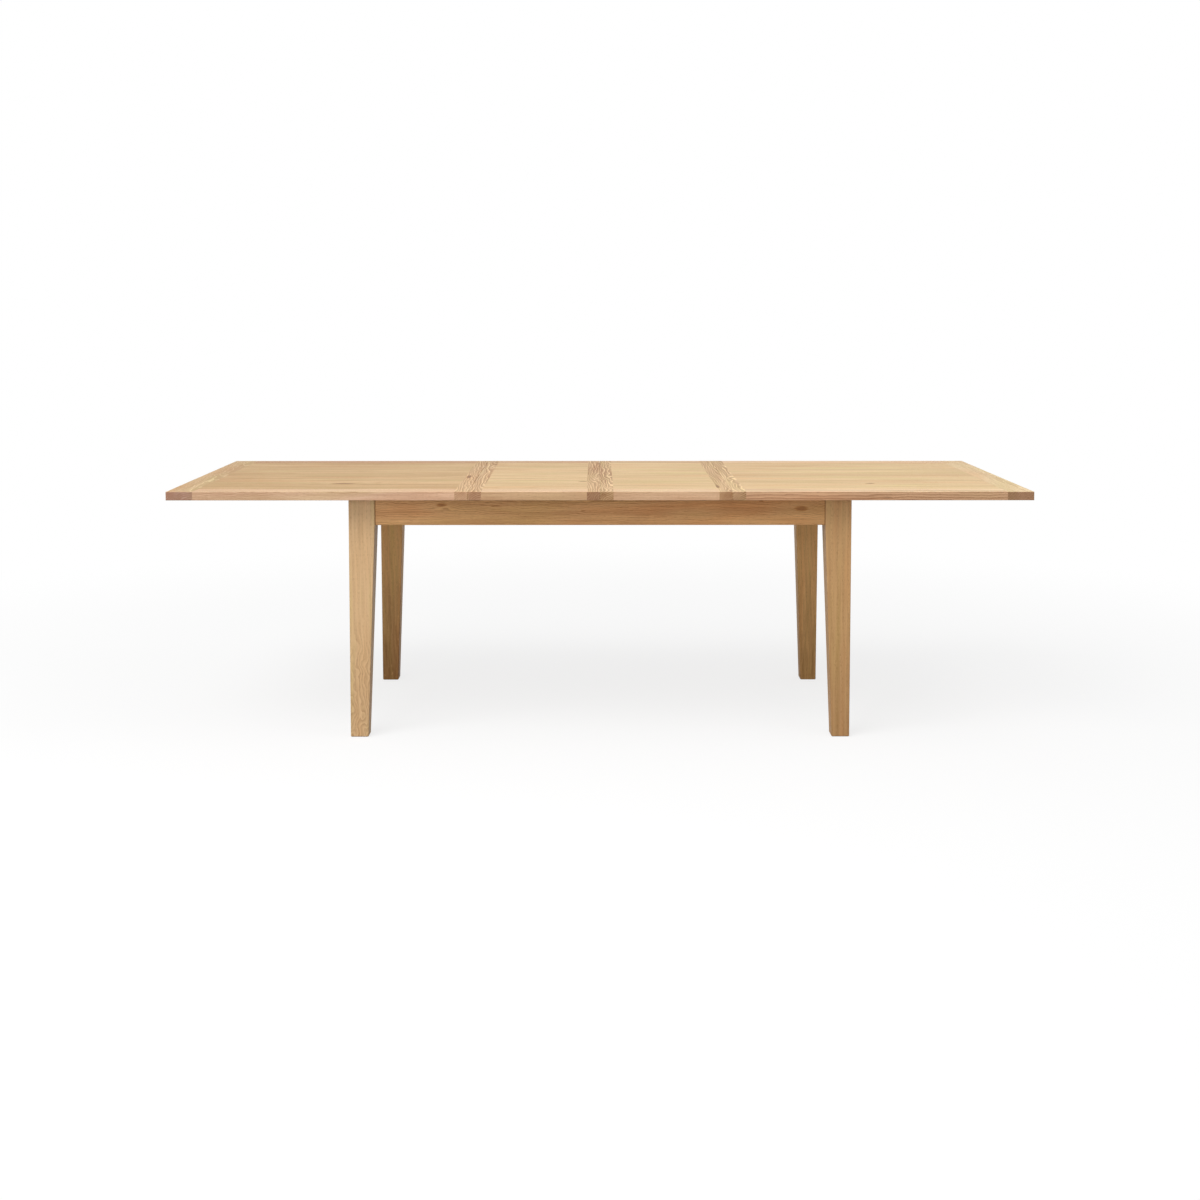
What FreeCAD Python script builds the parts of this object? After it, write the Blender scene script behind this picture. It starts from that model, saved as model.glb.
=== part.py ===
import FreeCAD, Part
import math
import os
from dataclasses import dataclass
from FreeCAD import Vector

# Extending oak table. Its top is split in the middle: the two halves slide apart on a fixed leg
# frame, and two loose leaves fill the opening.
#
# Millimetres. X runs along the table, Y across it with the front at -Y, and Z is up. The origin is
# on the floor under the middle of the table. The table is modelled pulled out, leaves in place.

# ---- Driving dimensions: the top ----------------------------------------------------------------
half_length = 910.0          # one half of the top, along X
leaf_length = 400.0          # one leaf along X, which is also the travel of each half
table_depth = 1000.0         # the top across Y
table_height = 772.0         # floor to the upper face of the top
top_thickness = 26.0
end_rail_width = 80.0        # cross rail at each end of the table
seam_rail_width = 40.0       # cross rail on each side of a seam
edge_rail_width = 80.0       # long rails along the front and back edges
seam_gap = 0.5               # between two sections at a seam
top_arris = 1.2              # rounding of a section's edges
panel_tongue = 8.0           # thickness of the tongues that join the boards
panel_tongue_length = 10.0
groove_stop = 30.0           # the cross rails' grooves stop this far from the table's edge

# ---- Driving dimensions: the leg frame ------------------------------------------------------------
end_overhang = 139.0         # end of the closed table to the leg's outer face
side_overhang = 78.0         # side of the table to the leg's outer face
leg_top_width = 80.0
leg_foot_width = 55.0        # the taper is on the two inner faces
leg_arris = 2.0
foot_chamfer = 2.0
leg_seat_cut = 14.0          # the inner corner, cut off where the corner block bears
apron_drop = 86.0            # underside of the top to the apron's lower edge
apron_thickness = 22.0
apron_setback = 5.0          # leg's outer face to the apron's face
apron_arris = 2.0
frame_gap = 1.5              # top of the frame to the underside of the top
tenon_thickness = 10.0
tenon_length = 18.0
tenon_shoulder = 10.0        # the tenon stops this far from the apron's upper and lower edges

# ---- Driving dimensions: what holds the frame together ----------------------------------------------
block_thickness = 28.0       # corner block, square to its diagonal faces
block_lift = 3.0             # apron's lower edge to the block's lower face
block_headroom = 4.0         # block's upper face to the runners above it
block_bolt_inset = 11.0      # bolt axis to the block's lower or upper face
block_screw_inset = 28.0     # screw axis to the block's thin end, along the apron
block_screw_seat = 20.0      # wood between a screw's head and the apron
block_screw_grip = 15.0      # how far a block's screw enters the apron
bolt_diameter = 8.0
bolt_grip = 45.0             # how far a hanger bolt enters the leg
bolt_stickout = 5.0          # bolt end past its nut
washer_diameter = 20.0
washer_thickness = 1.6
nut_width = 13.0             # across flats
nut_height = 6.5

# ---- Driving dimensions: slides ---------------------------------------------------------------------
slat_width = 70.0
slat_thickness = 18.0
slat_block_gap = 17.4        # outer slat to the corner blocks, along the apron
slat_lip = 4.0               # apron's lower edge to the slat
slat_housing = 6.0           # depth of the slat's seat in the apron
slat_screw_spread = 20.0     # screw axis to the slat's middle
slat_screw_grip = 25.0       # how far a slat's screw enters the guide rail
guide_width = 30.0
guide_headroom = 2.0         # guide rail to the underside of the top
guide_end_gap = 6.0          # guide rail's end to the corner blocks
runner_width = 28.0
runner_height = 34.0
runner_side_gap = 6.0        # outer runner to the leg
runner_guide_gap = 2.0       # runner to the guide rail
runner_tail_gap = 5.0        # runner's tail to the middle of the table
runner_stop_gap = 0.5        # runner's outer end to the end apron that stops it
slide_tongue = 10.0          # height of the runner's tongue
slide_tongue_length = 10.0   # how far it stands out of the runner
runner_screw_count = 4
runner_screw_inset = 24.0    # first and last screw to the ends of the wood they join
runner_screw_grip = 11.0     # how far a runner's screw enters the top
peg_diameter = 8.0
peg_grip = 10.0              # how far a peg is glued in the leaf
peg_reach = 10.0             # how far it stands out below

# ---- Driving dimensions: catches, pads --------------------------------------------------------------
catch_runner_gap = 96.0      # a catch's pin to the inner runner
catch_plate_width = 18.0
catch_plate_length = 46.0
catch_plate_thickness = 2.0
catch_screw_spread = 16.0    # plate screw to the pin's axis
catch_screw_length = 16.0
catch_pin_diameter = 6.0
catch_flange_diameter = 11.0
catch_flange_thickness = 1.2
hook_width = 20.0
hook_thickness = 3.0
hook_knob_diameter = 9.0
hook_knob_height = 4.0
slide_pad_diameter = 16.0
slide_pad_spacing = 300.0    # along the long aprons
end_pad_spread = 180.0       # on the end aprons, from the middle
foot_pad_diameter = 40.0
foot_pad_thickness = 3.0
foot_pad_recess = 1.5        # how far the pad is let into the foot

# ---- Clearances -------------------------------------------------------------------------------------
joint_fit = 0.1              # each side of a glued tongue, tenon, peg or slat
joint_end_fit = 0.5          # past the end of a glued tongue or tenon
slide_fit = 0.3              # above and below a runner's tongue
slide_end_fit = 0.6          # past the end of a runner's tongue
slide_pad_fit = 0.1          # pad to the top that slides over it
peg_fit = 0.3                # round a peg in its runner
peg_end_fit = 2.0            # below a peg in its runner
bolt_fit = 0.25              # round a bolt in its block, washer and nut
screw_fit = 0.05             # round a screw or a bolt in wood
catch_fit = 0.2              # between a hook and its plates and flanges
hook_bore_fit = 0.1          # round a pivot pin in its hook
hook_slot_fit = 0.3          # round a stud in the hook's slot


@dataclass(frozen=True)
class Screw:
    """A countersunk wood screw: its length, shank diameter and head diameter."""

    length: float
    shank: float
    head: float


@dataclass(frozen=True)
class Section:
    """One of the four sections of the top, between two planes across the table."""

    name: str
    left: float
    right: float
    left_rail: str
    left_width: float
    right_rail: str
    right_width: float


# ---- Levels and faces worked out from the driving dimensions ----------------------------------------
half_depth = table_depth / 2
top_under = table_height - top_thickness
top_middle = table_height - top_thickness / 2
frame_top = top_under - frame_gap
apron_bottom = top_under - apron_drop
foot_bottom = foot_pad_thickness - foot_pad_recess

leg_x = half_length - end_overhang
leg_y = half_depth - side_overhang
leg_inner_x = leg_x - leg_top_width
leg_inner_y = leg_y - leg_top_width
apron_x = leg_x - apron_setback
apron_y = leg_y - apron_setback
apron_inner_x = apron_x - apron_thickness
apron_inner_y = apron_y - apron_thickness

# A corner block lies between two diagonal lines x + y = constant.
block_outer_line = leg_inner_x + leg_inner_y + leg_seat_cut
block_inner_line = block_outer_line - block_thickness * math.sqrt(2)

runner_bottom = top_under - runner_height
slide_middle = top_under - runner_height / 2
block_bottom = apron_bottom + block_lift
block_top = runner_bottom - block_headroom
slat_bottom = apron_bottom + slat_lip
slat_top = slat_bottom + slat_thickness

# From the leg inwards: outer runner, guide rail, inner runner.
outer_lane_far = leg_inner_y - runner_side_gap
outer_lane_near = outer_lane_far - runner_width
guide_outer_y = outer_lane_near - runner_guide_gap
guide_inner_y = guide_outer_y - guide_width
inner_lane_near = guide_inner_y - runner_guide_gap
inner_lane_far = inner_lane_near - runner_width
outer_lane_y = (outer_lane_near + outer_lane_far) / 2
inner_lane_y = (inner_lane_near + inner_lane_far) / 2
guide_y = (guide_outer_y + guide_inner_y) / 2
guide_end_x = block_inner_line - guide_outer_y - guide_end_gap
runner_end_x = apron_inner_x - runner_stop_gap
block_end_x = block_inner_line - apron_inner_y
slat_x = block_end_x - slat_block_gap - slat_width / 2

# Pegs, catch pivots and catch studs all stand on the middle line of a seam rail.
catch_y = inner_lane_far - catch_runner_gap
seam_rail_middle = seam_rail_width / 2
plate_under = top_under - catch_plate_thickness
hook_top = plate_under - catch_fit
hook_bottom = hook_top - hook_thickness
flange_top = hook_bottom - catch_fit
catch_reach = 2 * seam_rail_middle

block_screw = Screw(block_screw_seat + block_screw_grip, 4.5, 9.0)
slat_screw = Screw(slat_thickness + slat_screw_grip, 4.5, 9.0)
runner_screw = Screw(runner_height + runner_screw_grip, 4.5, 9.0)
plate_screw = Screw(catch_screw_length, 3.0, 5.6)

UP = Vector(0, 0, 1)
pieces = {}


# ---- Helpers ----------------------------------------------------------------------------------------
def box(x0, x1, y0, y1, z0, z1):
    """A box between two corners, given in any order."""
    low = Vector(min(x0, x1), min(y0, y1), min(z0, z1))
    return Part.makeBox(abs(x1 - x0), abs(y1 - y0), abs(z1 - z0), low)


def prism(points, along):
    """A flat outline of 3-D points, extruded by the vector along."""
    outline = [Vector(*point) for point in points]
    return Part.Face(Part.makePolygon(outline + outline[:1])).extrude(along)


def cylinder(diameter, x, y, z0, z1):
    """An upright cylinder between two heights."""
    return Part.makeCylinder(diameter / 2, abs(z1 - z0), Vector(x, y, min(z0, z1)))


def placed(shape, at, along):
    """A copy of a shape made at the origin along +Z, moved to a point and turned to a direction."""
    copy = shape.copy()
    copy.Placement = FreeCAD.Placement(at, FreeCAD.Rotation(UP, along))
    return copy


def mirrored(shape, x_side, y_side):
    """The shape built in the corner at +X and +Y, as it is in the named corner."""
    if x_side < 0:
        shape = shape.mirror(Vector(), Vector(1, 0, 0))
    if y_side < 0:
        shape = shape.mirror(Vector(), Vector(0, 1, 0))
    return shape


def upright_rounded(shape, radius):
    """The shape with the edges that run upwards rounded."""
    edges = [edge for edge in shape.Edges if abs(edge.tangentAt(edge.FirstParameter).z) > 0.5]
    return shape.makeFillet(radius, edges)


def rounded_square(x, y, width, z, radius):
    """A level square outline with round corners, whose furthest corner is at x, y."""
    arcs = []
    for i, (back_x, back_y) in enumerate(((0, 0), (1, 0), (1, 1), (0, 1))):
        centre = Vector(x - radius - back_x * (width - 2 * radius),
                        y - radius - back_y * (width - 2 * radius), z)
        arcs.append(Part.makeCircle(radius, centre, UP, 90 * i, 90 * (i + 1)))
    sides = [Part.makeLine(arc.Vertexes[-1].Point, ahead.Vertexes[0].Point)
             for arc, ahead in zip(arcs, arcs[1:] + arcs[:1])]
    return Part.Wire([edge for pair in zip(arcs, sides) for edge in pair])


def spaced(first, last, count):
    """Evenly spaced numbers from first to last, both included."""
    return [first + (last - first) * i / (count - 1) for i in range(count)]


def turned_screw(size, grow):
    """The screw as a turned solid along +Z, head face at Z = 0, every radius larger by grow."""
    shank = size.shank / 2 + grow
    head = size.head / 2 + grow
    sink = (size.head - size.shank) / 2
    tip = size.length + grow
    outline = [(0, 0), (head, 0), (shank, sink), (shank, tip - 2 * size.shank), (0, tip)]
    face = Part.Face(Part.makePolygon([Vector(r, 0, z) for r, z in outline + outline[:1]]))
    return face.revolve(Vector(), UP, 360)


def wood_screw(size):
    """A countersunk screw with a cross recess in its head."""
    arm = 0.3 * size.head
    slot = 0.05 * size.head
    depth = 0.16 * size.head
    recess = box(-arm, arm, -slot, slot, 0, depth).fuse(box(-slot, slot, -arm, arm, 0, depth))
    return turned_screw(size, 0).cut(recess)


def drill(hosts, cutter):
    """Cut one hole through every solid of the named nodes."""
    for host in hosts:
        pieces[host] = [solid.cut(cutter) for solid in pieces[host]]


def drive(group, hosts, at, along, size, way_in=0.0):
    """Drive a screw: it joins its group, and the hosts are drilled for it and for its way in."""
    pieces.setdefault(group, []).append(placed(wood_screw(size), at, along))
    hole = turned_screw(size, screw_fit)
    if way_in:
        hole = hole.fuse(Part.makeCylinder(size.head / 2 + screw_fit, way_in, Vector(), -UP))
    drill(hosts, placed(hole, at, along))


# ---- The top: frames of rails round a panel -----------------------------------------------------------
def section_boards(section):
    """The five boards of a section, cut from one block with rounded edges, tongued and grooved."""
    block = box(section.left, section.right, -half_depth, half_depth, top_under, table_height)
    block = block.makeFillet(top_arris, block.Edges)
    x0 = section.left + section.left_width
    x1 = section.right - section.right_width
    y_in = half_depth - edge_rail_width
    y_stop = half_depth - groove_stop
    groove_depth = panel_tongue_length + joint_end_fit
    tongue_z = (top_middle - panel_tongue / 2, top_middle + panel_tongue / 2)
    groove_z = (tongue_z[0] - joint_fit, tongue_z[1] + joint_fit)

    panel = box(x0, x1, -y_in, y_in, top_under, table_height)
    tongues = box(x0 - panel_tongue_length, x1 + panel_tongue_length,
                  -y_in - panel_tongue_length, y_in + panel_tongue_length, *tongue_z)
    pieces[section.name + "_panel"] = [panel.fuse(tongues).removeSplitter()]

    for node, outside, inside, into in ((section.left_rail, section.left, x0, -1),
                                        (section.right_rail, section.right, x1, 1)):
        rail = block.common(box(outside, inside, -half_depth, half_depth, top_under, table_height))
        groove = box(inside, inside + into * groove_depth, -y_stop, y_stop, *groove_z)
        pieces[section.name + node] = [rail.cut(groove)]

    for node, side in (("_front_rail", -1), ("_back_rail", 1)):
        rail = block.common(box(x0, x1, side * y_in, side * half_depth, top_under, table_height))
        ends = box(x0 - panel_tongue_length, x1 + panel_tongue_length,
                   side * y_in, side * (y_stop - joint_end_fit), *tongue_z)
        groove = box(x0 - groove_depth, x1 + groove_depth,
                     side * y_in, side * (y_in + groove_depth), *groove_z)
        pieces[section.name + node] = [rail.fuse(ends).cut(groove)]


def runner(top, x_side, y_side, outer_lane):
    """One runner under a half, with its tongue in the guide rail and its screws."""
    near, far = (outer_lane_near, outer_lane_far) if outer_lane else (inner_lane_near, inner_lane_far)
    tongue_way = -1 if outer_lane else 1
    node = top + ("_front_runner" if y_side < 0 else "_back_runner")
    tail_x = x_side * runner_tail_gap
    end_x = x_side * runner_end_x
    bar = box(tail_x, end_x, y_side * near, y_side * far, runner_bottom, top_under)
    tongue = box(tail_x, end_x, y_side * near, y_side * (near + tongue_way * slide_tongue_length),
                 slide_middle - slide_tongue / 2, slide_middle + slide_tongue / 2)
    pieces[node] = [bar.fuse(tongue).removeSplitter()]
    first = runner_end_x - runner_screw_inset
    last = leaf_length + seam_rail_width + runner_screw_inset
    for x in spaced(first, last, runner_screw_count):
        drive(top + "_runner_screws", (node, top + "_panel"),
              Vector(x_side * x, y_side * (near + far) / 2, runner_bottom), UP, runner_screw)


def leaf_pegs(leaf, x_side):
    """Four pegs under a leaf, which drop in holes in the runners of the half beside it."""
    top = "left_top" if x_side < 0 else "right_top"
    group = leaf + "_pegs"
    pieces[group] = []
    for rail_x, rail in ((seam_rail_middle, "inner"), (leaf_length - seam_rail_middle, "outer")):
        for y_side, run in ((-1, "_front_runner"), (1, "_back_runner")):
            lane_y = outer_lane_y if y_side == x_side else inner_lane_y
            x = x_side * rail_x
            y = y_side * lane_y
            peg = cylinder(peg_diameter, x, y, top_under - peg_reach, top_under + peg_grip)
            pieces[group].append(peg.makeChamfer(peg_diameter / 8, peg.Edges[0::2]))
            rail_side = "_left_rail" if (rail == "outer") == (x_side < 0) else "_right_rail"
            drill((leaf + rail_side,), cylinder(peg_diameter + 2 * joint_fit, x, y, top_under,
                                                top_under + peg_grip + joint_end_fit))
            drill((top + run,), cylinder(peg_diameter + 2 * peg_fit, x, y, top_under,
                                         top_under - peg_reach - peg_end_fit))


# ---- Catches under the seams --------------------------------------------------------------------------
def catch_plate(group, rail, x, y):
    """A screwed plate with a flanged pin that points down: a hook's pivot or the stud it grips."""
    half_w = catch_plate_width / 2
    half_l = catch_plate_length / 2
    plate = box(x - half_w, x + half_w, y - half_l, y + half_l, plate_under, top_under)
    plate = upright_rounded(plate, half_w / 3)
    pin = cylinder(catch_pin_diameter, x, y, flange_top, top_under)
    flange = cylinder(catch_flange_diameter, x, y, flange_top - catch_flange_thickness, flange_top)
    made = plate.fuse([pin, flange])
    for side in (-1, 1):
        at = Vector(x, y + side * catch_screw_spread, plate_under)
        pieces.setdefault(group, []).append(placed(wood_screw(plate_screw), at, UP))
        hole = placed(turned_screw(plate_screw, screw_fit), at, UP)
        made = made.cut(hole)
        drill((rail,), hole)
    pieces[group].append(made)


def hook(node, x, y):
    """A hook that swings about the pin at x, y. It is open: it points to -Y, clear of the seam."""
    half_w = hook_width / 2
    slot = catch_pin_diameter / 2 + hook_slot_fit
    tip = catch_reach + half_w
    bar = box(0, catch_reach, -half_w, half_w, hook_bottom, hook_top)
    ends = [cylinder(hook_width, end, 0, hook_bottom, hook_top) for end in (0, catch_reach)]
    bar = bar.fuse(ends).removeSplitter()
    bore = cylinder(catch_pin_diameter + 2 * hook_bore_fit, 0, 0, hook_bottom, hook_top)
    seat = cylinder(2 * slot, catch_reach, 0, hook_bottom, hook_top)
    ring = cylinder(2 * (catch_reach + slot), 0, 0, hook_bottom, hook_top)
    ring = ring.cut(cylinder(2 * (catch_reach - slot), 0, 0, hook_bottom, hook_top))
    mouth = ring.common(box(0, tip + slot, 0, tip, hook_bottom, hook_top))
    knob_bottom = hook_bottom - hook_knob_height
    knob = cylinder(hook_knob_diameter, catch_reach / 2, 0, knob_bottom, hook_bottom)
    rim = min(knob.Edges, key=lambda edge: edge.CenterOfMass.z)
    made = bar.cut(bore).cut(seat).cut(mouth).fuse(knob.makeFillet(hook_knob_diameter / 9, [rim]))
    made.rotate(Vector(), UP, -90)
    made.translate(Vector(x, y, 0))
    pieces[node] = [made]


def seam_catches(left, right, left_rail, right_rail, seam_x):
    """The two catches of a seam: hooks on the section at its left, studs on that at its right."""
    for name, y in (("front", -catch_y), ("back", catch_y)):
        catch_plate(left + "_catch_plates", left + left_rail, seam_x - seam_rail_middle, y)
        catch_plate(right + "_catch_plates", right + right_rail, seam_x + seam_rail_middle, y)
        hook(left + "_" + name + "_hook", seam_x - seam_rail_middle, y)


# ---- The leg frame --------------------------------------------------------------------------------------
def leg():
    """The leg in the corner at +X and +Y, before its mortises and holes are cut."""
    levels = ((foot_bottom, leg_foot_width, foot_chamfer),
              (foot_bottom + foot_chamfer, leg_foot_width, 0.0),
              (apron_bottom, leg_top_width, 0.0), (frame_top, leg_top_width, 0.0))
    outlines = [rounded_square(leg_x - inset, leg_y - inset, width - 2 * inset, z, leg_arris)
                for z, width, inset in levels]
    made = Part.makeLoft(outlines, True, True)
    seat = prism([(leg_inner_x - 1, leg_inner_y - 1, apron_bottom),
                  (leg_inner_x + leg_seat_cut + 1, leg_inner_y - 1, apron_bottom),
                  (leg_inner_x - 1, leg_inner_y + leg_seat_cut + 1, apron_bottom)],
                 Vector(0, 0, frame_top - apron_bottom))
    return made.cut(seat)


def legs():
    """Four legs, each with a recess for its foot pad."""
    pad_x = leg_x - leg_foot_width / 2
    pad_y = leg_y - leg_foot_width / 2
    recess = cylinder(foot_pad_diameter + 2 * joint_fit, pad_x, pad_y, 0, foot_pad_thickness)
    pad = cylinder(foot_pad_diameter, pad_x, pad_y, 0, foot_pad_thickness)
    pieces["foot_pads"] = []
    for name, x_side, y_side in corners():
        pieces["leg_" + name] = [mirrored(leg().cut(recess), x_side, y_side)]
        pieces["foot_pads"].append(mirrored(pad, x_side, y_side))


def corners():
    """The four corners of the leg frame: name, side along X, side along Y."""
    return [("front_left", -1, -1), ("front_right", 1, -1), ("back_left", -1, 1),
            ("back_right", 1, 1)]


def apron(node, length, thick, names, turn):
    """An apron along X at -Y: tenoned in its two legs, and then turned to its own side."""
    face, back = thick
    board = box(-length, length, -face, -back, apron_bottom, frame_top)
    low = [edge for edge in board.Edges if edge.CenterOfMass.z < apron_bottom + 1
           and abs(edge.CenterOfMass.x) < 1]
    board = board.makeFillet(apron_arris, low)
    middle = (face + back) / 2
    half_t = tenon_thickness / 2
    z0 = apron_bottom + tenon_shoulder
    z1 = frame_top - tenon_shoulder
    tenon = box(-length - tenon_length, length + tenon_length, -middle - half_t, -middle + half_t,
                z0, z1)
    mortise = box(-length - tenon_length - joint_end_fit, length + tenon_length + joint_end_fit,
                  -middle - half_t - joint_fit, -middle + half_t + joint_fit,
                  z0 - joint_fit, z1 + joint_fit)
    board = board.fuse(tenon)
    for shape in (board, mortise):
        shape.rotate(Vector(), UP, turn)
    pieces[node] = [board]
    drill(["leg_" + name for name in names], mortise)


def aprons():
    """Long aprons at the front and back, short ones at the ends."""
    long_faces = (apron_y, apron_inner_y)
    end_faces = (apron_x, apron_inner_x)
    apron("front_apron", leg_inner_x, long_faces, ("front_left", "front_right"), 0)
    apron("back_apron", leg_inner_x, long_faces, ("back_left", "back_right"), 180)
    apron("left_end_apron", leg_inner_y, end_faces, ("front_left", "back_left"), -90)
    apron("right_end_apron", leg_inner_y, end_faces, ("front_right", "back_right"), 90)


def corner_blocks():
    """Diagonal blocks across the corners, screwed to the aprons and bolted to the legs."""
    outline = [(apron_inner_x, block_outer_line - apron_inner_x),
               (block_outer_line - apron_inner_y, apron_inner_y),
               (block_end_x, apron_inner_y),
               (apron_inner_x, block_inner_line - apron_inner_x)]
    block = prism([(x, y, block_bottom) for x, y in outline], Vector(0, 0, block_top - block_bottom))
    way_in = block_thickness * 2
    heights = (block_bottom + block_bolt_inset, block_top - block_bolt_inset)
    for name, x_side, y_side in corners():
        node = "corner_block_" + name
        pieces[node] = [mirrored(block, x_side, y_side)]
        long_apron = name.split("_")[0] + "_apron"
        end_apron = name.split("_")[1] + "_end_apron"
        screw_x = block_end_x + block_screw_inset
        screw_y = block_inner_line - apron_inner_x + block_screw_inset
        for z in heights:
            drive("frame_screws", (node, long_apron),
                  Vector(x_side * screw_x, y_side * (apron_inner_y - block_screw_seat), z),
                  Vector(0, y_side, 0), block_screw, way_in)
            drive("frame_screws", (node, end_apron),
                  Vector(x_side * (apron_inner_x - block_screw_seat), y_side * screw_y, z),
                  Vector(x_side, 0, 0), block_screw, way_in)
            hanger_bolt(name, x_side, y_side, z)


def hanger_bolt(name, x_side, y_side, z):
    """One bolt through a corner block into its leg, with its washer and nut."""
    along = Vector(x_side, y_side, 0).normalize()
    seat = leg_seat_cut / 2
    leg_face = Vector(x_side * (leg_inner_x + seat), y_side * (leg_inner_y + seat), z)
    block_face = leg_face - along * block_thickness
    nut_face = block_face - along * washer_thickness
    head = nut_height + bolt_stickout + washer_thickness + block_thickness
    bolt = Part.makeCylinder(bolt_diameter / 2, head + bolt_grip)
    bore = bolt_diameter + 2 * bolt_fit
    washer = cylinder(washer_diameter, 0, 0, 0, washer_thickness).cut(
        cylinder(bore, 0, 0, 0, washer_thickness))
    flat = nut_width / math.sqrt(3)
    hexagon = [(flat * math.cos(math.radians(60 * i)), flat * math.sin(math.radians(60 * i)), 0)
               for i in range(6)]
    nut = prism(hexagon, Vector(0, 0, nut_height)).cut(cylinder(bore, 0, 0, 0, nut_height))
    pieces.setdefault("leg_bolts", []).extend([
        placed(bolt, leg_face - along * head, along),
        placed(washer, nut_face, along),
        placed(nut, nut_face - along * nut_height, along)])
    block_bore = Part.makeCylinder(bore / 2, block_thickness + 2)
    leg_bore = Part.makeCylinder(bolt_diameter / 2 + screw_fit, bolt_grip + 2 * joint_end_fit)
    drill(("corner_block_" + name,), placed(block_bore, block_face - along, along))
    drill(("leg_" + name,), placed(leg_bore, leg_face - along * joint_end_fit, along))


def slats_and_guides():
    """Three slats across the frame, and the two grooved guide rails that they carry."""
    groove_depth = slide_tongue_length - runner_guide_gap + slide_end_fit
    groove_z = (slide_middle - slide_tongue / 2 - slide_fit,
                slide_middle + slide_tongue / 2 + slide_fit)
    for node, y_side in (("front_guide_rail", -1), ("back_guide_rail", 1)):
        rail = box(-guide_end_x, guide_end_x, y_side * guide_inner_y, y_side * guide_outer_y,
                   slat_top, top_under - guide_headroom)
        for face, into in ((guide_outer_y, -1), (guide_inner_y, 1)):
            rail = rail.cut(box(-guide_end_x, guide_end_x, y_side * face,
                                y_side * (face + into * groove_depth), *groove_z))
        pieces[node] = [rail]
    half_w = slat_width / 2
    end_y = apron_inner_y + slat_housing
    for name, x in (("left", -slat_x), ("middle", 0.0), ("right", slat_x)):
        node = name + "_slat"
        pieces[node] = [box(x - half_w, x + half_w, -end_y, end_y, slat_bottom, slat_top)]
        drill(("front_apron", "back_apron"),
              box(x - half_w - joint_fit, x + half_w + joint_fit, -end_y - joint_end_fit,
                  end_y + joint_end_fit, slat_bottom - joint_fit, slat_top + joint_fit))
        for guide, y_side in (("front_guide_rail", -1), ("back_guide_rail", 1)):
            for side in (-1, 1):
                drive("frame_screws", (node, guide),
                      Vector(x + side * slat_screw_spread, y_side * guide_y, slat_bottom), UP,
                      slat_screw)


def slide_pads():
    """Thin discs on the legs and aprons, which the halves slide on."""
    spots = [(leg_x - leg_top_width / 2, leg_y - leg_top_width / 2),
             ((apron_x + apron_inner_x) / 2, end_pad_spread)]
    long_y = (apron_y + apron_inner_y) / 2
    spots += [(slide_pad_spacing * step, long_y) for step in (0.5, 1.5)]
    top = frame_top + frame_gap - slide_pad_fit
    pieces["slide_pads"] = [mirrored(cylinder(slide_pad_diameter, x, y, frame_top, top), *sides)
                            for x, y in spots for _, *sides in corners()]


# ---- The whole table ------------------------------------------------------------------------------------
def top_sections():
    """The four sections from left to right."""
    gap = seam_gap / 2
    end = leaf_length + half_length
    end_rail = ("_end_rail", end_rail_width)
    seam_rail = ("_seam_rail", seam_rail_width)
    left_rail = ("_left_rail", seam_rail_width)
    right_rail = ("_right_rail", seam_rail_width)
    return [Section("left_top", -end, -leaf_length - gap, *end_rail, *seam_rail),
            Section("left_leaf", -leaf_length + gap, -gap, *left_rail, *right_rail),
            Section("right_leaf", gap, leaf_length - gap, *left_rail, *right_rail),
            Section("right_top", leaf_length + gap, end, *seam_rail, *end_rail)]


def build():
    """Make every piece of the table."""
    for section in top_sections():
        section_boards(section)
    for top, x_side in (("left_top", -1), ("right_top", 1)):
        for y_side in (-1, 1):
            runner(top, x_side, y_side, outer_lane=y_side == x_side)
    leaf_pegs("left_leaf", -1)
    leaf_pegs("right_leaf", 1)
    seam_catches("left_top", "left_leaf", "_seam_rail", "_left_rail", -leaf_length)
    seam_catches("left_leaf", "right_leaf", "_right_rail", "_left_rail", 0.0)
    seam_catches("right_leaf", "right_top", "_right_rail", "_seam_rail", leaf_length)
    legs()
    aprons()
    corner_blocks()
    slats_and_guides()
    slide_pads()


def export():
    """Write one STEP file for each node."""
    os.makedirs("parts", exist_ok=True)
    for node, solids in pieces.items():
        shape = solids[0] if len(solids) == 1 else Part.makeCompound(solids)
        shape.exportStep("parts/" + node + ".step")


build()
export()
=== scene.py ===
import logging
import math
from collections.abc import Callable
from dataclasses import dataclass, field, replace
from enum import Enum
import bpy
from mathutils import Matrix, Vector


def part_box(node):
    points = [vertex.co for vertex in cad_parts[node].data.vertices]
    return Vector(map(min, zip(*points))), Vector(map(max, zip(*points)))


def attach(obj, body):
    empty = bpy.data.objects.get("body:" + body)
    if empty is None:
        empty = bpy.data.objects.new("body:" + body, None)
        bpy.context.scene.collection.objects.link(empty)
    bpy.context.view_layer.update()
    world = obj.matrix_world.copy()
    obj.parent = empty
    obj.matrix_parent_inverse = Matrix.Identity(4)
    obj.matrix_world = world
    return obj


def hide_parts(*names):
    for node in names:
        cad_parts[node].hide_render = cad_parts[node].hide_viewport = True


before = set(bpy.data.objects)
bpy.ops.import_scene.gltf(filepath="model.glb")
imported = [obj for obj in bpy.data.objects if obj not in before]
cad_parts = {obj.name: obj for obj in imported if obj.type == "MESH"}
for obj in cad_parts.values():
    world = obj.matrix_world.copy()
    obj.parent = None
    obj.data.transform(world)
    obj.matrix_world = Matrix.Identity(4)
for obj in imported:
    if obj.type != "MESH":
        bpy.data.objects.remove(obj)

from types import SimpleNamespace

import bmesh
import bpy
from mathutils import Matrix, Vector

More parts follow.
